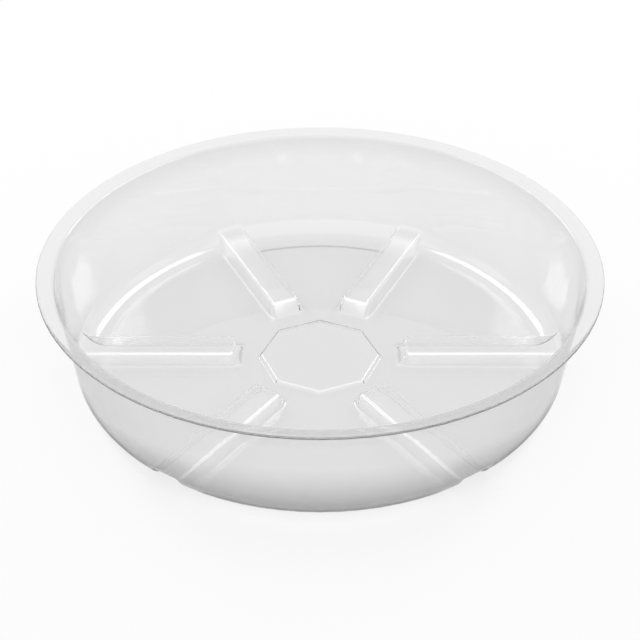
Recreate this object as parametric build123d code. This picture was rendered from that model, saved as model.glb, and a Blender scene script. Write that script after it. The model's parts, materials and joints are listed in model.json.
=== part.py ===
from build123d import *
import math
import os

# A round clear plant saucer, formed from one thin plastic sheet: a flared rim flange, a drafted
# side wall, a rounded heel, a flat floor with hollow round-shouldered support ribs and a raised
# eight-sided centre pad.
# Millimetres, +Z up, origin at the middle of the underside, -Y is the front.
# Every region of the sheet is its own solid, and neighbours meet face to face.

# Rim, wall and heel
rim_diameter = 203.2  # over the trimmed edge of the rim
height = 45.9  # from the underside to the top of the trimmed edge
sheet = 0.5  # thickness of the formed sheet
flange_width = 6.2  # from the wall's inner face to the trimmed edge, on plan
flange_rise = 1.2  # the trimmed edge stands this much above the flange's root
flange_bend = 1.0  # inside radius of the bend under the flange
wall_draft = 6.9  # degrees from upright
heel_radius = 11.2  # outside radius of the corner between wall and floor

# Support ribs
rib_width = 12.5  # across the hollow, at the underside
rib_height = 6.3  # rise of the crest above the floor
rib_draft = 9.0  # degrees from upright, the lean of a rib's flanks
rib_shoulder = 1.5  # radius of the hollow's upper corners, and the rib's own are one sheet larger
rib_end_slope = 60.0  # degrees, the slanted face at a rib's inner end
rib_gap = 6.0  # from the corners of the pad's foot to a rib's foot
back_rib_azimuth = 65.0  # degrees from the X axis
front_rib_azimuth = 55.0  # degrees from the X axis

# Centre pad
pad_sides = 8
pad_radius = 22.5  # to the corners of the flat top
pad_rise = 1.5
pad_flank_slope = 60.0  # degrees

# Cuts run past the faces that they open by this much
overrun = 3.0

half_turn = 180.0
full_turn = 360.0
rib_azimuths = {
    "right": 0.0,
    "back_right": back_rib_azimuth,
    "back_left": half_turn - back_rib_azimuth,
    "left": half_turn,
    "front_left": half_turn + front_rib_azimuth,
    "front_right": full_turn - front_rib_azimuth,
}
heel_names = ["right_back", "back", "left_back", "left_front", "front", "right_front"]

# Directions in the section plane, written as (radius, height)
draft = math.radians(wall_draft)
flange_pitch = math.atan2(flange_rise, flange_width)
wall_up = (math.sin(draft), math.cos(draft))
wall_out = (math.cos(draft), -math.sin(draft))
flange_out = (math.cos(flange_pitch), math.sin(flange_pitch))
flange_up = (-math.sin(flange_pitch), math.cos(flange_pitch))

# The flange's root is the sharp corner in which the wall's inner face and the flange's top would meet
rim_radius = rim_diameter / 2
root = (rim_radius - flange_width, height - flange_rise)
bend_turn = math.pi / 2 - draft - flange_pitch
bend_run = (flange_bend + sheet) * math.tan(bend_turn / 2)


def moved(point, direction, distance):
    """The point that lies a distance along a direction from another, in the section plane."""
    return (point[0] + direction[0] * distance, point[1] + direction[1] * distance)


# Where the bend meets the wall on the sheet's two faces, and the plane that parts flange from wall
bend_inner = moved(root, wall_up, -bend_run)
bend_outer = moved(bend_inner, wall_out, sheet)
bend_centre = moved(bend_outer, wall_out, flange_bend)
bend_foot = bend_outer[1]


def wall_inner_radius(z):
    """Radius of the wall's inner face, or of its line carried on, at a height."""
    return root[0] - (root[1] - z) * math.tan(draft)


# The heel is an arc about one centre for both faces of the sheet, tangent to the wall and the floor
heel_top = heel_radius * (1 - math.sin(draft))
floor_radius = wall_inner_radius(heel_radius) + (sheet - heel_radius) / math.cos(draft)
heel_centre = (floor_radius, heel_radius)
heel_reach = floor_radius + heel_radius

# A rib's hollow narrows upwards from the underside, and the rib is that grown by the sheet
rib_lean = math.radians(rib_draft)
rib_slope = math.radians(rib_end_slope)


def rib_half_width(skin, z):
    """Half the width of a rib's hollow (skin 0) or of the rib itself (skin is the sheet) at a height."""
    return rib_width / 2 + skin / math.cos(rib_lean) - z * math.tan(rib_lean)


rib_half_plan = rib_half_width(sheet, sheet)

# The pad's flanks lean in from its foot on the floor to its flat top
pad_slope = math.radians(pad_flank_slope)
pad_corner_share = 1 / math.cos(math.pi / pad_sides)
pad_foot_radius = pad_radius + pad_rise / math.tan(pad_slope) * pad_corner_share
rib_foot = pad_foot_radius + rib_gap


def turned_section(*edges):
    """The solid that a closed outline of the section plane makes round the Z axis."""
    return revolve(Plane.XZ * make_face(edges), Axis.Z)


def plug(skin):
    """Everything inside the sheet's outer face (skin 0) or inner face (skin is the sheet)."""
    arc_radius = heel_radius - skin
    foot = (floor_radius, skin)
    middle_angle = -(math.pi / 2 + draft) / 2
    middle = moved(heel_centre, (math.cos(middle_angle), math.sin(middle_angle)), arc_radius)
    shoulder = moved(heel_centre, wall_out, arc_radius)
    wall_top_z = bend_foot + (overrun if skin else 0)
    wall_top = moved(shoulder, wall_up, (wall_top_z - shoulder[1]) / math.cos(draft))
    return turned_section(
        Line((0, skin), foot),
        ThreePointArc(foot, middle, shoulder),
        Line(shoulder, wall_top),
        Line(wall_top, (0, wall_top[1])),
        Line((0, wall_top[1]), (0, skin)),
    )


def rim_flange():
    """The bend at the top of the wall and the flared flange, out to its upright trimmed edge."""
    half_way = math.pi - draft - bend_turn / 2
    middle = (math.cos(half_way), math.sin(half_way))
    top_inner = moved(bend_centre, flange_up, flange_bend + sheet)
    top_outer = moved(bend_centre, flange_up, flange_bend)
    edge_top = (rim_radius, height)
    edge_bottom = moved(top_outer, flange_out, (rim_radius - top_outer[0]) / math.cos(flange_pitch))
    wall_foot = (wall_inner_radius(bend_foot), bend_foot)
    return turned_section(
        Line(wall_foot, bend_inner),
        ThreePointArc(bend_inner, moved(bend_centre, middle, flange_bend + sheet), top_inner),
        Line(top_inner, edge_top),
        Line(edge_top, edge_bottom),
        Line(edge_bottom, top_outer),
        ThreePointArc(top_outer, moved(bend_centre, middle, flange_bend), bend_outer),
        Line(bend_outer, wall_foot),
    )


def rib_section(skin):
    """The section across a rib, from below the underside up to its crest, with rounded shoulders."""
    low, high = -overrun, rib_height + skin
    low_half, high_half = rib_half_width(skin, low), rib_half_width(skin, high)
    corners = [(-low_half, low), (low_half, low), (high_half, high), (-high_half, high)]
    outline = make_face(Polyline(*corners, close=True))
    return fillet(outline.vertices().sort_by(Axis.Y)[-2:], rib_shoulder + skin)


def rib_bar(skin, end_skin, azimuth):
    """A bar of a rib's section along the rib, from the slanted plane at its inner end to past the heel.
    The rib's hollow has skin 0, and the rib itself stands one sheet proud of it.
    The rib's own slanted face stands on the rib's foot, and the hollow's lies end_skin behind it."""
    length = heel_reach + overrun
    reach = rib_height + skin + overrun

    def end_at(z):
        return rib_foot + end_skin / math.sin(rib_slope) + (z - sheet) / math.tan(rib_slope)

    corners = [(end_at(-reach), -reach), (length, -reach), (length, reach), (end_at(reach), reach)]
    side_view = make_face(Polyline(*corners, close=True))
    slab = extrude(Plane.XZ * side_view, amount=rib_width + overrun, both=True)
    bar = extrude(Plane.YZ * rib_section(skin), amount=length + overrun)
    return Rot(0, 0, azimuth) * (bar & slab)


def rib_zone(azimuth):
    """The upright block over a rib's plan, from its foot out past the heel and up to the heel's top."""
    length = heel_reach + overrun - rib_foot
    corner_first = (Align.MIN, Align.CENTER, Align.MIN)
    block = Box(length, 2 * rib_half_plan, heel_top + overrun, align=corner_first)
    return Rot(0, 0, azimuth) * (Pos(rib_foot, 0, -overrun) * block)


def pad_block(low, high, end_skin):
    """The pad between two heights, with flanks that lie end_skin behind the pad's own flanks."""

    def outline(z):
        set_back = end_skin / math.sin(pad_slope) + (z - sheet) / math.tan(pad_slope)
        return Pos(0, 0, z) * RegularPolygon(pad_foot_radius - set_back * pad_corner_share, pad_sides)

    return loft([outline(low), outline(high)])


def pad_zone():
    """The upright block over the pad's plan."""
    outline = RegularPolygon(pad_foot_radius, pad_sides)
    return Pos(0, 0, -overrun) * extrude(outline, amount=pad_rise + sheet + 2 * overrun)


def layer(radius, low, high):
    """A round slice of space between two heights."""
    standing = (Align.CENTER, Align.CENTER, Align.MIN)
    return Pos(0, 0, low) * Cylinder(radius, high - low, align=standing)


def formed_sheet():
    """The sheet below the flange as one shape: its outer plug less the hollows, less its inner plug."""
    outside = plug(0) - pad_block(-overrun, pad_rise, sheet)
    inside = plug(sheet) - pad_block(sheet - overrun, sheet + pad_rise, 0)
    for azimuth in rib_azimuths.values():
        outside -= rib_bar(0, sheet, azimuth)
        inside -= rib_bar(sheet, 0, azimuth)
    return outside - inside


def by_azimuth(solid):
    """Angle of a solid's centre round the Z axis, from the X axis."""
    centre = solid.center()
    return math.atan2(centre.Y, centre.X) % math.tau


def saucer():
    """Every region of the saucer by its node's name."""
    whole = formed_sheet()
    wide = rim_radius + overrun
    wall = whole & layer(wide, heel_top, bend_foot + overrun)
    base = whole & layer(wide, -overrun, heel_top)
    nodes = {"rim_flange": rim_flange(), "side_wall": wall, "centre_pad": base & pad_zone()}
    rest = base - pad_zone()
    for name, azimuth in rib_azimuths.items():
        nodes[f"support_rib_{name}"] = base & rib_zone(azimuth)
        rest -= rib_zone(azimuth)
    core = layer(floor_radius, -overrun, heel_top + overrun)
    nodes["floor_panel"] = rest & core
    heels = sorted((rest - core).solids(), key=by_azimuth)
    for name, solid in zip(heel_names, heels, strict=True):
        nodes[f"heel_{name}"] = solid
    return nodes


os.makedirs("parts", exist_ok=True)
for node, shape in saucer().items():
    export_step(shape, f"parts/{node}.step")
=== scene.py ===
"""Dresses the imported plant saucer: one seamless clear formed sheet, its finish and a pale studio."""

import json
import math

import bpy
import numpy as np
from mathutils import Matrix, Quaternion, Vector

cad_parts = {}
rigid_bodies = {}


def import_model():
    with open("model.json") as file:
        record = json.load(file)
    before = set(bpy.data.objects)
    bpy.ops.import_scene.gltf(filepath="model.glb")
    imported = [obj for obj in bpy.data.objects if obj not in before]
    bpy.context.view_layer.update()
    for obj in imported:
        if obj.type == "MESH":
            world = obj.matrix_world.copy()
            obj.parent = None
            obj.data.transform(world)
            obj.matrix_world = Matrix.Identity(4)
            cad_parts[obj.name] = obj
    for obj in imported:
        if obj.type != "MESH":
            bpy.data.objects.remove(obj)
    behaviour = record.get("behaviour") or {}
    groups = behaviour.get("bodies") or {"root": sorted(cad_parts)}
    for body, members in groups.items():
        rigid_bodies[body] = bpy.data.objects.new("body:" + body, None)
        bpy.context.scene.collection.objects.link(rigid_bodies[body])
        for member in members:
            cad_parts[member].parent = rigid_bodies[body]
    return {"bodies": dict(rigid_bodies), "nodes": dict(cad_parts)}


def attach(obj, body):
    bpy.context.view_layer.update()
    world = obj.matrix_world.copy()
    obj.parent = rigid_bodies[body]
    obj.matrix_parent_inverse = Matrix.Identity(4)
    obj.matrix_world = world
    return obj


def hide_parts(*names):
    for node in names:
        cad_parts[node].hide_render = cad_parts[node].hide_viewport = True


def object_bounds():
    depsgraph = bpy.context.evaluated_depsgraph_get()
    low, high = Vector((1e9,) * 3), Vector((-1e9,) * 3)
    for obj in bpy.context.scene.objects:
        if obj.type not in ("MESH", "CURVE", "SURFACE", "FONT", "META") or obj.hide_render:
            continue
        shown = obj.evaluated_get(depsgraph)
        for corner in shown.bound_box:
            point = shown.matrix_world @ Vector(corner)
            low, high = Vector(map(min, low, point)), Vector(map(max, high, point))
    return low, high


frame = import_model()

bl_info = {
    "name": "Clear Plant Saucer",
    "version": (1, 0, 0),
    "blender": (4, 5, 0),
    "location": "3D View > Sidebar > Saucer",
    "description": "Builds a clear formed plant saucer and a pale studio around it",
    "category": "Add Mesh",
}

CAD_LOW, CAD_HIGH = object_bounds()
BODY_NAME = next(iter(frame["bodies"]))
MM = 0.001
QUARTER_TURN = math.pi / 2


# Sizes, finish and studio as properties


def length(name, description, millimetres):
    """A length property, given in millimetres and kept in metres."""
    return bpy.props.FloatProperty(
        name=name, description=description, default=millimetres * MM, unit="LENGTH", precision=4
    )


def angle(name, description, degrees):
    """An angle property, given in degrees and kept in radians."""
    return bpy.props.FloatProperty(
        name=name, description=description, default=math.radians(degrees), subtype="ANGLE"
    )


def number(name, description, value):
    """A plain number property."""
    return bpy.props.FloatProperty(name=name, description=description, default=value, precision=4)


def neutral(name, description, level):
    """A colour property in linear light, given as one level for red, green and blue."""
    return bpy.props.FloatVectorProperty(
        name=name,
        description=description,
        default=(level, level, level),
        size=3,
        subtype="COLOR",
        min=0.0,
        max=1.0,
    )


class SaucerSizes(bpy.types.PropertyGroup):
    """Driving dimensions of the formed sheet, and how forming has drawn it."""

    rim_diameter: length("Rim diameter", "Over the trimmed edge of the rim", 203.2)
    height: length("Height", "From the underside to the trimmed edge", (CAD_HIGH.z - CAD_LOW.z) / MM)
    sheet: length("Sheet", "Thickness of the formed sheet", 0.5)
    flange_width: length("Flange width", "From the wall's inner face to the trimmed edge", 6.2)
    flange_rise: length("Flange rise", "Rise of the trimmed edge above the flange's root", 1.2)
    flange_bend: length("Flange bend", "Inside radius of the bend under the flange", 1.0)
    wall_draft: angle("Wall draft", "Lean of the wall from upright", 6.9)
    heel_radius: length("Heel radius", "Outside radius between wall and floor", 11.2)
    rib_width: length("Rib width", "Across a rib's hollow, at the underside", 12.5)
    rib_height: length("Rib height", "Rise of a rib's crest above the floor", 6.3)
    rib_draft: angle("Rib draft", "Lean of a rib's flanks from upright", 9.0)
    rib_shoulder: length("Rib shoulder", "Radius of the upper corners of a rib's hollow", 1.5)
    rib_end_slope: angle("Rib end slope", "Slant of the face at a rib's inner end", 60.0)
    rib_gap: length("Rib gap", "From the corners of the pad's foot to a rib's foot", 6.0)
    rib_foot_fillet: length("Rib foot fillet", "Radius of the hollow along a rib's foot", 1.0)
    rib_corner: length("Rib corner", "Rounding on plan of the corners at a rib's inner end", 3.0)
    rib_heel_ease: length("Rib heel ease", "Height over which a rib is rounded into the heel", 3.2)
    back_rib_azimuth: angle("Back rib azimuth", "Turn of the back ribs from the X axis", 65.0)
    front_rib_azimuth: angle("Front rib azimuth", "Turn of the front ribs from the X axis", 55.0)
    pad_radius: length("Pad radius", "To the corners of the pad's flat top", 22.5)
    pad_rise: length("Pad rise", "Rise of the pad above the floor", 1.5)
    pad_flank_slope: angle("Pad flank slope", "Slant of the pad's flanks", 60.0)
    pad_edge_round: length("Pad edge round", "Radius of the edge round the pad's flat top", 1.2)
    pad_foot_fillet: length("Pad foot fillet", "Radius of the hollow along the pad's foot", 0.8)
    pad_shine: number("Pad shine", "Shine of the pad's edge, as a share of the ribs' shine", 0.6)
    # Painted shade line: where a darker narrow ring is painted on the floor's inner face, and half its width
    shade_line_inset: length("Crease inset", "From the crease in the floor out to the heel", 1.5)
    shade_line_width: length("Crease width", "Half the width of the creases", 1.1)
    thinning: number("Thinning", "Share of the thickness that is drawn out of ribs and wall", 0.5)
    drawn_reach: length("Drawn reach", "Run by a rib and the flange over which the sheet thins", 3.0)
    margin: length("Margin", "Strip of plain floor kept round ribs and pad", 0.6)


class SaucerFinish(bpy.types.PropertyGroup):
    """Look of the clear sheet, with painted shade lines and painted shade at the wall's foot and outline."""

    floor_tint: neutral("Floor tint", "Light that the floor and the ribs let through", 0.99)
    wall_tint: neutral("Wall tint", "Light that the wall's inner face lets through", 0.74)
    # Painted shade: the tint of the painted shade lines on the floor and at the flange's root
    shade_line_tint: neutral("Crease tint", "Light that the creases let through", 0.45)
    # Painted shade: the wall's outer face is painted darker towards its foot, up to the foot height, and
    # towards its outline
    painted_shade_tint: neutral("Foot tint", "Light that the foot of the wall lets in from outside", 0.08)
    foot_height: length("Foot height", "Height up to which the foot of the wall is greyer", 31.0)
    wall_start: length("Wall start", "Run of the heel from the floor's finish to the wall's", 5.0)
    floor_shade: neutral("Floor shade", "Lamp light that one face of floor and ribs lets in", 0.705)
    wall_shade: neutral("Wall shade", "Lamp light that one face of the wall lets in", 0.98)
    slant_falloff: number("Slant falloff", "How late slanting lamp light is turned away", 4.0)
    # Painted shade: how late the painted darkening of the wall's outer face sets in towards its outline
    edge_falloff: number("Edge falloff", "How late the wall darkens towards its outline", 2.5)
    flange_clear: number("Flange clearness", "Share of the wall's grey that the flange hasn't", 0.2)
    # Painted shade: strength of the painted shade line at the flange's root
    flange_shade_line: number("Flange crease", "Strength of the crease at the flange's root", 0.5)
    shoulder_gloss: number("Shoulder gloss", "Index of refraction of the shoulders' shine", 4.0)
    grey: number("Grey", "Light lost in the plastic, per metre of its thickness", 15.0)
    refraction: number("Refraction", "Index of refraction of the plastic", 1.5)
    gloss_low: number("Least roughness", "Roughness where the sheet is glossiest", 0.03)
    gloss_high: number("Most roughness", "Roughness where the sheet is dullest", 0.08)
    patch_size: length("Patch size", "Width of the patches of more and less gloss", 24.0)
    peel_size: length("Orange peel size", "Width of the soft ripples left by forming", 6.0)
    peel_depth: length("Orange peel depth", "Depth of the soft ripples left by forming", 0.004)


class SaucerStudio(bpy.types.PropertyGroup):
    """Camera, floor and room."""

    camera_distance: length("Camera distance", "From the aim point to the camera", 501.5)
    camera_aim: length("Aim height", "Height of the point that camera and lamps look at", 17.7)
    camera_elevation: angle("Camera elevation", "Camera's height above the horizon", 35.35)
    camera_lens: number("Lens", "Focal length in millimetres on a 36 mm sensor", 75.33)
    floor_colour: neutral("Floor colour", "Pale studio floor", 0.96)
    floor_size: length("Floor size", "Side of the square floor", 4000.0)
    floor_gap: length("Floor gap", "Air between the floor and the underside of the saucer", 0.3)
    floor_glow: number("Floor glow", "Share of the backdrop in the floor seen by the saucer", 0.58)
    white_start: length("White start", "Distance out at which the floor begins to whiten", 90.0)
    white_full: length("White full", "Distance out at which the floor is the backdrop's white", 500.0)
    ceiling_colour: neutral("Ceiling colour", "Light from the dim studio overhead", 0.25)
    wall_colour: neutral("Wall colour", "Light from the pale studio round the horizon", 0.75)
    backdrop_colour: neutral("Backdrop colour", "The room where it is seen", 1.0)
    wall_top: number("Wall top", "Sine of the elevation up to which the room is pale", 0.55)
    ceiling_start: number("Ceiling start", "Sine of the elevation from which the room is dim", 0.85)


# The sheet's surface

BEND_LENGTH = 5 * MM  # rows are spread as if a turn of one radian were this long
EDGE_STEPS = 6  # round the trimmed edge


def steps(count):
    """Shares of the way at the ends of a count of even steps."""
    return np.linspace(0, 1, count + 1)[1:]


def smooth_max(a, b, ease):
    """The larger of two heights. Where they differ by less than ease, the corner is filled by the square
    of what is left of ease, over four times ease."""
    left = np.maximum(ease - np.abs(a - b), 0.0)
    return np.maximum(a, b) + left**2 / (4 * ease)


def smooth_step(share):
    """A share of the way, eased at both ends: three times its square less twice its cube."""
    return share**2 * (3 - 2 * share)


def spread(places, heights, count):
    """Places spaced evenly by the length of a curve plus its turning, so that bends get more of them."""
    runs = np.hypot(np.diff(places), np.diff(heights))
    slope = np.arctan2(np.diff(heights), np.diff(places))
    turning = np.abs(np.diff(slope, prepend=slope[0]))
    reached = np.concatenate([[0.0], np.cumsum(runs + turning * BEND_LENGTH)])
    return np.interp(np.linspace(0, reached[-1], count), reached, places)


class FlankProfile:
    """Height against distance in from a foot: a hollow arc, a straight flank and a round shoulder, and level
    beyond. Each arc turns by the flank's slope, and the shoulder shines about one share of that turn."""

    ARC_STEPS = 200
    SHINIEST = 0.75  # share of the slope at which a shoulder is shiniest
    FULL_SHINE = 0.175  # how far from there the shine is full, as a share of the slope
    NO_SHINE = 0.35  # how far from there it has faded out

    def __init__(self, rise, slope, foot_radius, shoulder_radius):
        turn = np.linspace(0, slope, self.ARC_STEPS)
        back = turn[::-1]
        flank_rise = rise - (foot_radius + shoulder_radius) * (1 - math.cos(slope))
        foot = np.stack([np.sin(turn), 1 - np.cos(turn)]) * foot_radius
        shoulder = np.stack([np.sin(slope) - np.sin(back), np.cos(back) - np.cos(slope)]) * shoulder_radius
        flank = np.array([[flank_rise / math.tan(slope)], [flank_rise]])
        self.insets, self.heights = np.concatenate([foot, foot[:, -1:] + flank + shoulder], axis=1)
        from_shiniest = np.abs(back / slope - self.SHINIEST)
        shine = np.interp(from_shiniest, [self.FULL_SHINE, self.NO_SHINE], [1, 0])
        self.shines = np.concatenate([np.zeros_like(turn), shine])
        self.run = self.insets[-1]
        self.foot_reach = foot_radius * math.tan(slope / 2)

    def height(self, inset):
        """Height at a distance in from where the foot leaves the floor."""
        return np.interp(inset, self.insets, self.heights)

    def shine(self, inset):
        """How shiny the drawn plastic is, at a distance in from where the foot leaves the floor."""
        return np.interp(inset, self.insets, self.shines)

    def inset(self, height):
        """Distance in from where the foot leaves the floor, at a height."""
        return np.interp(height, self.heights, self.insets)


class SheetForm:
    """The sheet's inner face as a grid: rows run from the middle to the rim, columns round the dish."""

    PAD_SIDES = 8
    FINE_SAMPLES = 4001  # of a curve along which rows or columns are spread
    RIB_COLUMNS = 65  # across a rib and its margins
    GAP_COLUMNS = 13  # between two ribs
    PAD_TOP_RINGS = (0.25, 0.55, 0.85)  # rows on the pad's flat top, as shares of its width
    PAD_EDGE_ROWS = 14
    BRIDGE_STEPS = 4  # from the pad to the ribs' ends
    RIB_END_ROWS = 22
    FLOOR_STEPS = 8  # from the ribs' ends to the crease
    FLOOR_GROWTH = 1.25  # power by which these steps widen outwards
    HEEL_STEPS = 22
    WALL_STEPS = 8
    BEND_STEPS = 9
    FLANGE_STEPS = 3
    SQUARE_REACH = 2  # up to this many rib heights from a rib's start, rows cross it squarely
    ROUND_REACH = 6  # from this many rib heights on, rows run round the middle
    LEAST_EASE = 0.006 * MM  # smallest rounding between a rib and what it runs into

    def __init__(self, sizes):
        self.s = sizes
        s = sizes
        self.rim_radius = s.rim_diameter / 2
        self.pitch = math.atan2(s.flange_rise, s.flange_width)
        self.root = (self.rim_radius - s.flange_width, s.height - s.flange_rise)
        inner_at_heel = self.root[0] - (self.root[1] - s.heel_radius) * math.tan(s.wall_draft)
        self.floor_radius = inner_at_heel + (s.sheet - s.heel_radius) / math.cos(s.wall_draft)
        corner_share = 1 / math.cos(math.pi / self.PAD_SIDES)
        pad_foot = s.pad_radius / corner_share + s.pad_rise / math.tan(s.pad_flank_slope)
        rib_foot = pad_foot * corner_share + s.rib_gap
        shoulder = s.rib_shoulder + s.sheet
        self.pad = FlankProfile(s.pad_rise, s.pad_flank_slope, s.pad_foot_fillet, s.pad_edge_round)
        self.flank = FlankProfile(s.rib_height, QUARTER_TURN - s.rib_draft, s.rib_foot_fillet, shoulder)
        self.end = FlankProfile(s.rib_height, s.rib_end_slope, s.rib_foot_fillet, shoulder)
        rib_half_plan = s.rib_width / 2 + s.sheet * (1 / math.cos(s.rib_draft) - math.tan(s.rib_draft))
        self.pad_outline = pad_foot + self.pad.foot_reach
        self.rib_outline = rib_half_plan + self.flank.foot_reach
        self.rib_start = rib_foot - self.end.foot_reach
        self.zone_half = self.rib_outline + s.margin
        self.rib_azimuths = np.array(
            [
                0.0,
                s.back_rib_azimuth,
                math.pi - s.back_rib_azimuth,
                math.pi,
                math.pi + s.front_rib_azimuth,
                math.tau - s.front_rib_azimuth,
            ]
        )

    def columns(self):
        """Azimuth of each column is base + swing * asin(offset / radius): parallel to a rib in the rib's own
        strip (swing 1), and fanned evenly from strip to strip in the gaps. Also gives the azimuth of each
        column's rib, which is not a number in a gap."""
        fine = np.linspace(-self.zone_half, self.zone_half, self.FINE_SAMPLES)
        offsets = spread(fine, self.flank.height(self.rib_outline - np.abs(fine)), self.RIB_COLUMNS)
        shares = steps(self.GAP_COLUMNS + 1)[:-1]
        base, swing, offset, rib = [], [], [], []
        after = np.append(self.rib_azimuths[1:], self.rib_azimuths[0] + math.tau)
        for here, there in zip(self.rib_azimuths, after):
            base += [np.full_like(offsets, here), here + (there - here) * shares]
            swing += [np.ones_like(offsets), 1 - 2 * shares]
            offset += [offsets, np.full_like(shares, self.zone_half)]
            rib += [np.full_like(offsets, here), np.full_like(shares, np.nan)]
        return [np.concatenate(part) for part in (base, swing, offset, rib)]

    def floor_rings(self):
        """Rows of the floor outside the pad, as distances along a rib's side: close together at a rib's
        slanted end, at the painted shade line and where the floor begins to turn up."""
        s = self.s
        fine = np.linspace(-s.margin, self.end.run + s.margin, self.FINE_SAMPLES)
        close = self.rib_start + spread(fine, self.end.height(fine), self.RIB_END_ROWS)
        shade_line = self.floor_radius - s.shade_line_inset
        last = np.array([shade_line - s.shade_line_width, shade_line, shade_line + s.shade_line_width, self.floor_radius])
        last = np.sqrt(last**2 - self.zone_half**2)
        wide = close[-1] + (last[0] - close[-1]) * steps(self.FLOOR_STEPS)[:-1] ** self.FLOOR_GROWTH
        return np.concatenate([close, wide, last])

    def dish_rows(self):
        """Radius and height of the rows from the heel to the trimmed edge: the heel's arc, the wall's line,
        the bend's arc and the flange's line, each tangent to the one before."""
        s = self.s
        arc = s.heel_radius - s.sheet
        turn = (QUARTER_TURN - s.wall_draft) * steps(self.HEEL_STEPS)
        heel = np.stack([self.floor_radius + arc * np.sin(turn), s.heel_radius - arc * np.cos(turn)])
        bend_arc = s.flange_bend + s.sheet
        bend_turn = QUARTER_TURN - s.wall_draft - self.pitch
        bend_run = bend_arc * math.tan(bend_turn / 2)
        wall_up = np.array([math.sin(s.wall_draft), math.cos(s.wall_draft)])
        wall_out = np.array([math.cos(s.wall_draft), -math.sin(s.wall_draft)])
        bend_start = np.array(self.root) - wall_up * bend_run
        wall = heel[:, -1:] + (bend_start[:, None] - heel[:, -1:]) * steps(self.WALL_STEPS)
        centre = bend_start + wall_out * bend_arc
        sweep = math.pi - s.wall_draft - bend_turn * steps(self.BEND_STEPS)
        bend = centre[:, None] + bend_arc * np.stack([np.cos(sweep), np.sin(sweep)])
        flange_out = np.array([math.cos(self.pitch), math.sin(self.pitch)])
        edge_round = s.sheet / 2 * (1 + math.sin(self.pitch))
        reach = (self.rim_radius - edge_round - bend[0, -1]) / math.cos(self.pitch)
        flange = bend[:, -1:] + flange_out[:, None] * reach * steps(self.FLANGE_STEPS)
        return np.concatenate([heel, wall, bend, flange], axis=1)

    def pad_distance(self, azimuth):
        """Radius at an azimuth of an eight-sided ring whose sides are one unit from the middle and which has
        a corner on the X axis: one over the cosine of the turn from the middle of a side."""
        side = math.tau / self.PAD_SIDES
        return 1 / np.cos(np.mod(azimuth, side) - side / 2)

    def pad_rows(self, azimuth):
        """Azimuth of the pad's columns and radius of its rows. The column nearest to a corner moves onto it,
        by its turn from the corner, taken within half a turn."""
        s = self.s
        corners = np.arange(self.PAD_SIDES) * math.tau / self.PAD_SIDES
        beside = np.angle(np.exp(1j * (azimuth[:, None] - corners)))
        nearest = np.abs(beside).argmin(axis=0)
        turned = azimuth.copy()
        turned[nearest] -= beside[nearest, np.arange(self.PAD_SIDES)]
        fine = np.linspace(-s.margin, self.pad.run + s.margin, self.FINE_SAMPLES)
        edge = self.pad_outline - spread(fine, self.pad.height(fine), self.PAD_EDGE_ROWS)[::-1]
        rings = np.concatenate([np.array(self.PAD_TOP_RINGS) * edge[0], edge])
        return turned, rings[:, None] * self.pad_distance(turned)

    def plan(self):
        """Radius and azimuth of each point, and the azimuth of each column's rib. Rows are eight-sided on the
        pad, cross the ribs' ends squarely and go over to circles farther out."""
        s = self.s
        base, swing, offset, rib = self.columns()
        rings = self.floor_rings()[:, None]
        reaches = [self.SQUARE_REACH * s.rib_height, self.ROUND_REACH * s.rib_height]
        roundness = np.interp(rings - self.rib_start, reaches, [0, 1])
        round_along = np.sqrt(rings**2 + self.zone_half**2 - offset**2)
        floor_r = np.hypot((1 - roundness) * rings + roundness * round_along, offset)
        dish_r = self.dish_rows()[0][:, None]
        outer_r = np.concatenate([floor_r, np.broadcast_to(dish_r, (len(dish_r), len(base)))])
        outer_az = base + swing * np.arcsin(offset / outer_r)
        pad_az, pad_r = self.pad_rows(outer_az[0])
        shares = steps(self.BRIDGE_STEPS)[:-1, None]
        bridge_r = pad_r[-1] + (outer_r[0] - pad_r[-1]) * shares
        bridge_az = pad_az + (outer_az[0] - pad_az) * shares
        radius = np.concatenate([pad_r, bridge_r, outer_r])
        azimuth = np.concatenate([np.broadcast_to(pad_az, pad_r.shape), bridge_az, outer_az])
        return radius, azimuth, rib

    def rib_inset(self, along, across):
        """Distance in from a rib's foot, from which the flank's profile gives the rib's height. It is the
        smaller of the distances in from the rib's side and from its slanted end. Within the corner's radius
        of the foot, it is that radius less the hypotenuse of what the two distances fall short of it."""
        round_corner = self.s.rib_corner
        from_start = along - self.rib_start
        end_inset = np.where(from_start < 0, from_start, self.flank.inset(self.end.height(from_start)))
        side_inset = self.rib_outline - np.abs(across)
        least = np.minimum(side_inset, end_inset)
        corner = round_corner - np.hypot(
            np.maximum(round_corner - side_inset, 0), np.maximum(round_corner - end_inset, 0)
        )
        return np.where(least < round_corner, corner, least)

    def thickness(self, ground, inset):
        """Thickness of the sheet: whole on floor and flange, and drawn thinner up the heel, on the wall and
        on ribs. A rib's thinning ends between one and two rib heights up the wall."""
        s = self.s
        below_flange = (self.root[1] - s.sheet - ground) / s.drawn_reach
        drawn_wall = np.minimum(ground / s.heel_radius, below_flange)
        low_down = np.interp(ground, [s.rib_height, 2 * s.rib_height], [1, 0])
        drawn_rib = np.clip(1 + inset / s.drawn_reach, 0, 1) * low_down
        drawn = np.clip(np.maximum(drawn_rib, drawn_wall), 0, 1)
        return s.sheet * (1 - s.thinning * drawn)

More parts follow.
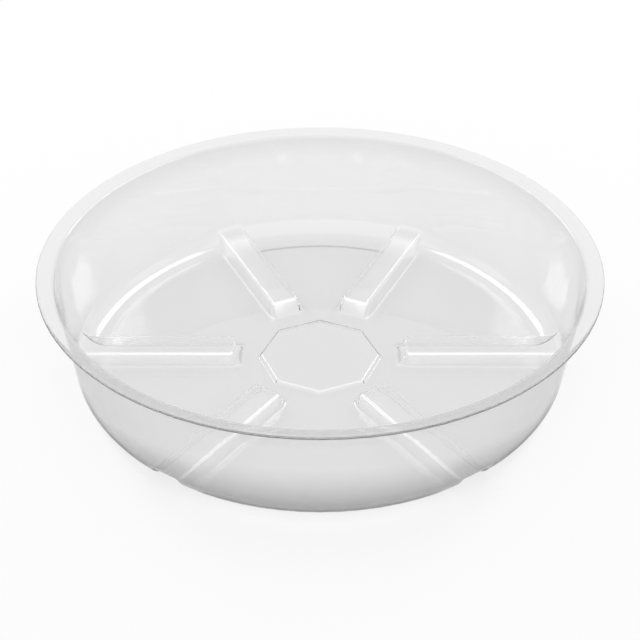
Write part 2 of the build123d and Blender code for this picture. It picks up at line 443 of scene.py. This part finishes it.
    def inner_face(self):
        """Points of the inner face, rows by columns by XYZ. The height is that of the floor, plus the largest
        of pad, rib and dish, and ribs run into the heel with a hollow round. Also gives for each point the
        sheet's thickness, whether it is on a rib and how shiny it is."""
        s = self.s
        radius, azimuth, rib = self.plan()
        pad_inset = self.pad_outline - radius / self.pad_distance(azimuth)
        ground = self.pad.height(pad_inset)
        dish_z = self.dish_rows()[1][:, None]
        ground[-len(dish_z):] = dish_z - s.sheet
        from_rib = np.where(np.isnan(rib), QUARTER_TURN, azimuth - rib)
        inset = self.rib_inset(radius * np.cos(from_rib), radius * np.sin(from_rib))
        rise = self.flank.height(inset)
        ease = np.clip(np.minimum(ground, rise), self.LEAST_EASE, s.rib_heel_ease)
        height = s.sheet + smooth_max(ground, rise, ease)
        points = np.stack([radius * np.cos(azimuth), radius * np.sin(azimuth), height], axis=-1)
        proud = rise - ground
        on_rib = np.clip(proud / s.margin, 0, 1)
        rib_shine = self.flank.shine(inset) * np.clip(proud / s.rib_heel_ease, 0, 1)
        shine = np.maximum(rib_shine, s.pad_shine * self.pad.shine(pad_inset))
        return points, self.thickness(ground, inset), on_rib, shine


def grid_normals(points):
    """Unit normals of a grid whose columns close on themselves: the cross product of its two differences."""
    down_rows = np.gradient(points, axis=0)
    round_columns = np.roll(points, -1, axis=1) - np.roll(points, 1, axis=1)
    normal = np.cross(down_rows, round_columns)
    return normal / np.linalg.norm(normal, axis=-1, keepdims=True)


def closed_sheet(face, thickness):
    """A closed skin round a face: the face, a half-round edge, and the face moved back along its normals by
    the thickness at each point. Returns the points of all rows in order, a point for each pole, and the side
    of each point, which is 0 on the face and the edge and 1 on the back."""
    normal = grid_normals(face)
    depth = thickness[..., None]
    back = face - normal * depth
    outward = face[-1] - face[-2]
    outward /= np.linalg.norm(outward, axis=-1, keepdims=True)
    turn = math.pi * steps(EDGE_STEPS)[:-1, None, None]
    middle = face[-1] - normal[-1] * depth[-1] / 2
    edge = middle + depth[-1] / 2 * (np.cos(turn) * normal[-1] + np.sin(turn) * outward)
    rows = np.concatenate([face, edge, back[::-1]])
    side = np.concatenate([np.zeros(thickness.shape), np.zeros(edge.shape[:2]), np.ones(thickness.shape)])
    top = np.array([[0.0, 0.0, face[0, :, 2].mean()]])
    poles = np.concatenate([top, top - [[0.0, 0.0, thickness[0].mean()]]])
    return rows, poles, np.append(side.ravel(), [0, 1])


def on_both_faces(values, row_count):
    """Values of a face's points, given again to its back, and 0 on the edge between them and at the poles."""
    edge = np.zeros((row_count - 2 * len(values), values.shape[1]))
    return np.append(np.concatenate([values, edge, values[::-1]]), [0, 0])


def skin_faces(row_count, column_count):
    """Quads between the rows and a fan of triangles round each pole, all facing outwards."""
    here = np.arange(row_count * column_count).reshape(row_count, column_count)
    beside = np.roll(here, -1, axis=1)
    quads = np.stack([here[:-1], here[1:], beside[1:], beside[:-1]], axis=-1).reshape(-1, 4)
    top_pole = row_count * column_count
    first = np.stack([np.full(column_count, top_pole), here[0], beside[0]], axis=-1)
    last = np.stack([np.full(column_count, top_pole + 1), beside[-1], here[-1]], axis=-1)
    return quads.tolist() + first.tolist() + last.tolist()


def new_piece(name, points, faces):
    """A smooth-shaded mesh object at the origin."""
    mesh = bpy.data.meshes.new(name)
    mesh.from_pydata(points.tolist(), [], faces)
    mesh.polygons.foreach_set("use_smooth", np.ones(len(mesh.polygons), dtype=bool))
    mesh.update()
    piece = bpy.data.objects.new(name, mesh)
    bpy.context.scene.collection.objects.link(piece)
    return piece


# The clear sheet's finish, with painted shade

BLACK = (0, 0, 0)
PATCH_DETAIL = 3.0  # finer layers of noise in the patches of gloss


def sheet_paints(form, finish, points, side, on_rib, shine):
    """Values from 0 to 1 that the finish reads at each point, by name. Each is a product of shares: how far
    the point is out on the wall or the flange, how near to a painted shade line, which face it is on, and
    whether it is on a rib. The shade lines and the darkening of the wall's outer face towards its foot are
    painted shade."""
    sizes = form.s
    radius = np.hypot(points[:, 0], points[:, 1])
    low = np.clip(1 - points[:, 2] / finish.foot_height, 0, 1)
    beyond_floor = np.clip((radius - form.floor_radius) / finish.wall_start, 0, 1)
    beyond_wall = np.clip((radius - form.root[0]) / sizes.flange_bend, 0, 1)
    wall = beyond_floor * (1 - finish.flange_clear * beyond_wall)
    outer = side * beyond_floor * (1 - beyond_wall) * (1 - on_rib)
    # Painted shade lines: a darker narrow ring on the floor's inner face just inside the heel, only between
    # the back ribs, and a fainter one at the flange's root
    from_shade_line = np.abs(radius - form.floor_radius + sizes.shade_line_inset)
    on_floor = (1 - side) * (points[:, 2] < sizes.sheet + sizes.margin / 2)
    between_back_ribs = points[:, 1] > radius * math.sin(sizes.back_rib_azimuth)
    shade_line = on_floor * between_back_ribs * np.clip(1 - from_shade_line / sizes.shade_line_width, 0, 1)
    from_root = np.abs(radius - form.root[0])
    shade_line += (1 - side) * finish.flange_shade_line * np.clip(1 - from_root / sizes.shade_line_width, 0, 1)
    return {
        "wall": wall,
        "inner": (1 - side) * wall,
        # Painted shade: the wall's outer face is painted darker towards its outline (outer) and towards its
        # foot (foot)
        "outer": outer,
        "foot": outer * smooth_step(low),
        "shade_line": shade_line,
        "shoulder": (1 - side) * shine,
    }


def blank_material(name):
    """A new material and its node tree, which has no nodes yet."""
    material = bpy.data.materials.new(name)
    material.use_nodes = True
    material.node_tree.nodes.clear()
    return material, material.node_tree


def add_node(tree, kind, **inputs):
    """A shader node with some of its inputs set by name."""
    node = tree.nodes.new(kind)
    for name, value in inputs.items():
        node.inputs[name.replace("_", " ")].default_value = value
    return node


def mixed(tree, factor, first, second):
    """A colour between two, each given as a colour or as a socket that carries one."""
    node = tree.nodes.new("ShaderNodeMix")
    node.data_type = "RGBA"
    tree.links.new(factor, node.inputs["Factor"])
    for value, socket in ((first, node.inputs["A"]), (second, node.inputs["B"])):
        if isinstance(value, bpy.types.NodeSocket):
            tree.links.new(value, socket)
        else:
            socket.default_value = (*value, 1)
    return node.outputs["Result"]


def mixed_shaders(tree, factor, first, second):
    """A shader between two, each given as a socket."""
    node = tree.nodes.new("ShaderNodeMixShader")
    for value, socket in zip((factor, first, second), node.inputs):
        tree.links.new(value, socket)
    return node.outputs["Shader"]


def reckoned(tree, operation, first, second):
    """The result of a sum on a socket and a second socket or number, kept between 0 and 1."""
    node = tree.nodes.new("ShaderNodeMath")
    node.operation = operation
    node.use_clamp = True
    tree.links.new(first, node.inputs[0])
    if isinstance(second, bpy.types.NodeSocket):
        tree.links.new(second, node.inputs[1])
    else:
        node.inputs[1].default_value = second
    return node.outputs["Value"]


def painted(tree, name):
    """The value of a painted point attribute."""
    node = tree.nodes.new("ShaderNodeAttribute")
    node.attribute_name = name
    return node.outputs["Fac"]


def tint_and_painted_shade(tree, finish, facing):
    """The light that the plastic lets through, and painted shade. The wall's inner face is greyer than the
    floor.
    Painted shade: narrow lines on the floor and at the flange's root are darker, and from outside the wall is
    painted darker towards its foot and its outline. What is painted on a face isn't seen on it from within
    the plastic, apart from the painted shade lines."""
    from_within = tree.nodes.new("ShaderNodeNewGeometry").outputs["Backfacing"]
    # Painted shade: the wall's outer face is darkened towards its outline and towards its foot
    outline = reckoned(tree, "POWER", facing, finish.edge_falloff)
    painted_shade = reckoned(tree, "MULTIPLY", painted(tree, "outer"), outline)
    painted_shade = reckoned(tree, "MAXIMUM", painted(tree, "foot"), painted_shade)
    painted_shade = reckoned(tree, "SUBTRACT", painted_shade, from_within)
    inner = reckoned(tree, "SUBTRACT", painted(tree, "inner"), from_within)
    tint = mixed(tree, inner, finish.floor_tint, finish.wall_tint)
    # Painted shade lines, darker on the floor and at the flange's root
    tint = mixed(tree, painted(tree, "shade_line"), tint, finish.shade_line_tint)
    return mixed(tree, painted_shade, tint, finish.painted_shade_tint)


def forming_marks(tree, finish):
    """The normal of the faint ripples that forming has left, and a roughness that varies in soft patches."""
    link = tree.links.new
    place = tree.nodes.new("ShaderNodeTexCoord").outputs["Object"]
    ripples = add_node(tree, "ShaderNodeTexNoise", Scale=1 / finish.peel_size)
    link(place, ripples.inputs["Vector"])
    bump = add_node(tree, "ShaderNodeBump", Distance=finish.peel_depth)
    link(ripples.outputs["Fac"], bump.inputs["Height"])
    patches = add_node(tree, "ShaderNodeTexNoise", Scale=1 / finish.patch_size, Detail=PATCH_DETAIL)
    link(place, patches.inputs["Vector"])
    gloss = add_node(tree, "ShaderNodeMapRange", To_Min=finish.gloss_low, To_Max=finish.gloss_high)
    link(patches.outputs["Fac"], gloss.inputs["Value"])
    return bump.outputs["Normal"], gloss.outputs["Result"]


def lamp_light(tree, finish, facing):
    """A see-through shader for light on its way to what lies under the sheet. Floor and ribs take more from
    it than the wall, and what comes at a slant is turned away."""
    slant = reckoned(tree, "POWER", facing, finish.slant_falloff)
    shade = mixed(tree, painted(tree, "wall"), finish.floor_shade, finish.wall_shade)
    shade = mixed(tree, slant, shade, BLACK)
    through = tree.nodes.new("ShaderNodeBsdfTransparent")
    tree.links.new(shade, through.inputs["Color"])
    return through.outputs["BSDF"]


def clear_plastic(finish):
    """Clear glossy plastic, greyer on the wall, with painted shade lines and painted shade at the wall's foot
    and outline. The drawn shoulders of ribs and pad have a stronger mirror, and the light of the lamps passes
    straight through, so that what lies under the sheet is lit."""
    material, tree = blank_material("clear_formed_sheet")
    link = tree.links.new
    facing = tree.nodes.new("ShaderNodeLayerWeight").outputs["Facing"]
    ripples, roughness = forming_marks(tree, finish)
    plastic = add_node(
        tree,
        "ShaderNodeBsdfPrincipled",
        IOR=finish.refraction,
        Transmission_Weight=1.0,
        Coat_IOR=finish.shoulder_gloss,
    )
    link(tint_and_painted_shade(tree, finish, facing), plastic.inputs["Base Color"])
    link(roughness, plastic.inputs["Roughness"])
    link(ripples, plastic.inputs["Normal"])
    link(painted(tree, "shoulder"), plastic.inputs["Coat Weight"])
    ray = tree.nodes.new("ShaderNodeLightPath").outputs
    lighting = reckoned(tree, "MAXIMUM", ray["Is Shadow Ray"], ray["Is Diffuse Ray"])
    surface = mixed_shaders(tree, lighting, plastic.outputs["BSDF"], lamp_light(tree, finish, facing))
    inside = add_node(tree, "ShaderNodeVolumeAbsorption", Color=(*BLACK, 1), Density=finish.grey)
    output = tree.nodes.new("ShaderNodeOutputMaterial")
    link(surface, output.inputs["Surface"])
    link(inside.outputs["Volume"], output.inputs["Volume"])
    return material


class SAUCER_OT_form_sheet(bpy.types.Operator):
    """Forms the clear sheet with its rim, wall, heel, floor, ribs and pad as one seamless closed skin"""

    bl_idname = "saucer.form_sheet"
    bl_label = "Form Sheet"

    def execute(self, context):
        finish = context.scene.saucer_finish
        form = SheetForm(context.scene.saucer_sizes)
        face, thickness, on_rib, shine = form.inner_face()
        rows, poles, side = closed_sheet(face, thickness)
        points = np.concatenate([rows.reshape(-1, 3), poles])
        piece = new_piece("saucer_sheet", points, skin_faces(*rows.shape[:2]))
        on_rib = on_both_faces(on_rib, len(rows))
        shine = on_both_faces(shine, len(rows))
        for name, values in sheet_paints(form, finish, points, side, on_rib, shine).items():
            attribute = piece.data.attributes.new(name, "FLOAT", "POINT")
            attribute.data.foreach_set("value", values.astype(np.float32))
        piece.data.materials.append(clear_plastic(finish))
        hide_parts(*sorted(frame["nodes"]))
        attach(piece, BODY_NAME)
        return {"FINISHED"}


# The studio

CLEAR_BOUNCES = 32  # faces of clear sheet that a ray may pass
MIRROR_BOUNCES = 16
NEAREST_SEEN = 0.01  # as a share of the camera's distance

# Name, size in metres, watts, azimuth and elevation in degrees, distance in metres, roll in degrees
LAMPS = (
    ("lamp_front", (2.4, 1.8), 6.8, -90, 45, 1.3, 0),
    ("lamp_right", (0.5, 0.5), 0.4, 6, 30, 1.3, 0),
    ("lamp_left", (0.5, 0.5), 0.4, 174, 30, 1.3, 0),
    ("lamp_back_right", (1.14, 0.28), 4.0, 36, 44, 1.2, -53),
    ("lamp_back_left", (1.14, 0.28), 4.0, 144, 44, 1.2, 53),
)


def seen(tree):
    """1 for what the camera sees, also mirrored in the sheet or through it, and 0 for light that falls."""
    ray = tree.nodes.new("ShaderNodeLightPath").outputs
    direct = reckoned(tree, "MAXIMUM", ray["Is Camera Ray"], ray["Is Glossy Ray"])
    return reckoned(tree, "MAXIMUM", direct, ray["Is Transmission Ray"])


def studio_floor(studio):
    """A pale matt floor under the saucer. By the saucer, part of what is seen of it is the backdrop's white
    and the rest is lit and shaded. Farther out, all of it is white."""
    material, tree = blank_material("studio_floor")
    link = tree.links.new
    matt = add_node(tree, "ShaderNodeBsdfDiffuse", Color=(*studio.floor_colour, 1))
    white = add_node(tree, "ShaderNodeEmission", Color=(*studio.backdrop_colour, 1))
    distance = tree.nodes.new("ShaderNodeVectorMath")
    distance.operation = "LENGTH"
    link(tree.nodes.new("ShaderNodeTexCoord").outputs["Object"], distance.inputs["Vector"])
    glow = add_node(
        tree,
        "ShaderNodeMapRange",
        From_Min=studio.white_start,
        From_Max=studio.white_full,
        To_Min=studio.floor_glow,
    )
    glow.interpolation_type = "SMOOTHSTEP"
    link(distance.outputs["Value"], glow.inputs["Value"])
    share = reckoned(tree, "MULTIPLY", glow.outputs["Result"], seen(tree))
    surface = mixed_shaders(tree, share, matt.outputs["BSDF"], white.outputs["Emission"])
    link(surface, tree.nodes.new("ShaderNodeOutputMaterial").inputs["Surface"])
    half = studio.floor_size / 2
    low = -studio.floor_gap
    corners = np.array([[-half, -half, low], [half, -half, low], [half, half, low], [-half, half, low]])
    floor = new_piece("studio_floor", corners, [[0, 1, 2, 3]])
    floor.data.materials.append(material)


def soft_lamp(aim, name, size, power, azimuth, elevation, distance, roll):
    """An oblong soft lamp at an azimuth from the X axis, an elevation and a distance from a point that it
    looks at, rolled about its own line of sight."""
    azimuth, elevation, roll = (math.radians(turn) for turn in (azimuth, elevation, roll))
    data = bpy.data.lights.new(name, "AREA")
    data.shape = "RECTANGLE"
    data.size, data.size_y = size
    data.energy = power
    lamp = bpy.data.objects.new(name, data)
    flat = math.cos(elevation)
    way = Vector((math.cos(azimuth) * flat, math.sin(azimuth) * flat, math.sin(elevation)))
    lamp.location = aim + way * distance
    turn = (-way).to_track_quat("-Z", "Y") @ Quaternion((0, 0, 1), roll)
    lamp.rotation_euler = turn.to_euler()
    bpy.context.scene.collection.objects.link(lamp)


def studio_room(studio):
    """A room that is white where it is seen, and that lights the saucer more from round the horizon than
    from above."""
    world = bpy.data.worlds.new("studio_room")
    world.use_nodes = True
    tree = world.node_tree
    link = tree.links.new
    way = tree.nodes.new("ShaderNodeTexCoord")
    parts = tree.nodes.new("ShaderNodeSeparateXYZ")
    link(way.outputs["Generated"], parts.inputs["Vector"])
    height = add_node(tree, "ShaderNodeMapRange", From_Min=studio.wall_top, From_Max=studio.ceiling_start)
    link(parts.outputs["Z"], height.inputs["Value"])
    paint = mixed(tree, height.outputs["Result"], studio.wall_colour, studio.ceiling_colour)
    paint = mixed(tree, seen(tree), paint, studio.backdrop_colour)
    link(paint, tree.nodes["Background"].inputs["Color"])
    return world


def photo_camera(studio, aim):
    """A camera straight in front of a point, at the photograph's elevation, distance and lens."""
    data = bpy.data.cameras.new("camera")
    data.lens = studio.camera_lens
    data.clip_start = studio.camera_distance * NEAREST_SEEN
    camera = bpy.data.objects.new("camera", data)
    way = Vector((0, -math.cos(studio.camera_elevation), math.sin(studio.camera_elevation)))
    camera.location = aim + way * studio.camera_distance
    camera.rotation_euler = (-way).to_track_quat("-Z", "Y").to_euler()
    bpy.context.scene.collection.objects.link(camera)
    return camera


class SAUCER_OT_set_studio(bpy.types.Operator):
    """Sets the pale floor, the soft lamps, the pale room and the camera at the photograph's angle"""

    bl_idname = "saucer.set_studio"
    bl_label = "Set Studio"

    def execute(self, context):
        scene = context.scene
        studio = scene.saucer_studio
        aim = Vector((0, 0, studio.camera_aim))
        studio_floor(studio)
        for lamp in LAMPS:
            soft_lamp(aim, *lamp)
        scene.world = studio_room(studio)
        scene.camera = photo_camera(studio, aim)
        scene.view_settings.view_transform = "Standard"
        scene.cycles.max_bounces = CLEAR_BOUNCES
        scene.cycles.transmission_bounces = CLEAR_BOUNCES
        scene.cycles.transparent_max_bounces = CLEAR_BOUNCES
        scene.cycles.glossy_bounces = MIRROR_BOUNCES
        return {"FINISHED"}


class SAUCER_PT_panel(bpy.types.Panel):
    """Lists the saucer's operators and values"""

    bl_idname = "SAUCER_PT_panel"
    bl_label = "Clear Plant Saucer"
    bl_space_type = "VIEW_3D"
    bl_region_type = "UI"
    bl_category = "Saucer"

    def draw(self, context):
        for group, operator in GROUPS:
            box = self.layout.box()
            values = getattr(context.scene, group)
            for name in values.bl_rna.properties.keys():
                if name not in {"rna_type", "name"}:
                    box.prop(values, name)
            if operator:
                box.operator(operator)


GROUPS = (
    ("saucer_sizes", None),
    ("saucer_finish", "saucer.form_sheet"),
    ("saucer_studio", "saucer.set_studio"),
)
CLASSES = (
    SaucerSizes,
    SaucerFinish,
    SaucerStudio,
    SAUCER_OT_form_sheet,
    SAUCER_OT_set_studio,
    SAUCER_PT_panel,
)


def register():
    """Registers the classes and gives the scene their values."""
    for kind in CLASSES:
        bpy.utils.register_class(kind)
    bpy.types.Scene.saucer_sizes = bpy.props.PointerProperty(type=SaucerSizes)
    bpy.types.Scene.saucer_finish = bpy.props.PointerProperty(type=SaucerFinish)
    bpy.types.Scene.saucer_studio = bpy.props.PointerProperty(type=SaucerStudio)


def unregister():
    """Takes the values and the classes away again."""
    del bpy.types.Scene.saucer_studio
    del bpy.types.Scene.saucer_finish
    del bpy.types.Scene.saucer_sizes
    for kind in reversed(CLASSES):
        bpy.utils.unregister_class(kind)


def main():
    """Builds the saucer and its studio."""
    register()
    bpy.ops.saucer.form_sheet()
    bpy.ops.saucer.set_studio()


if __name__ == "__main__":
    main()
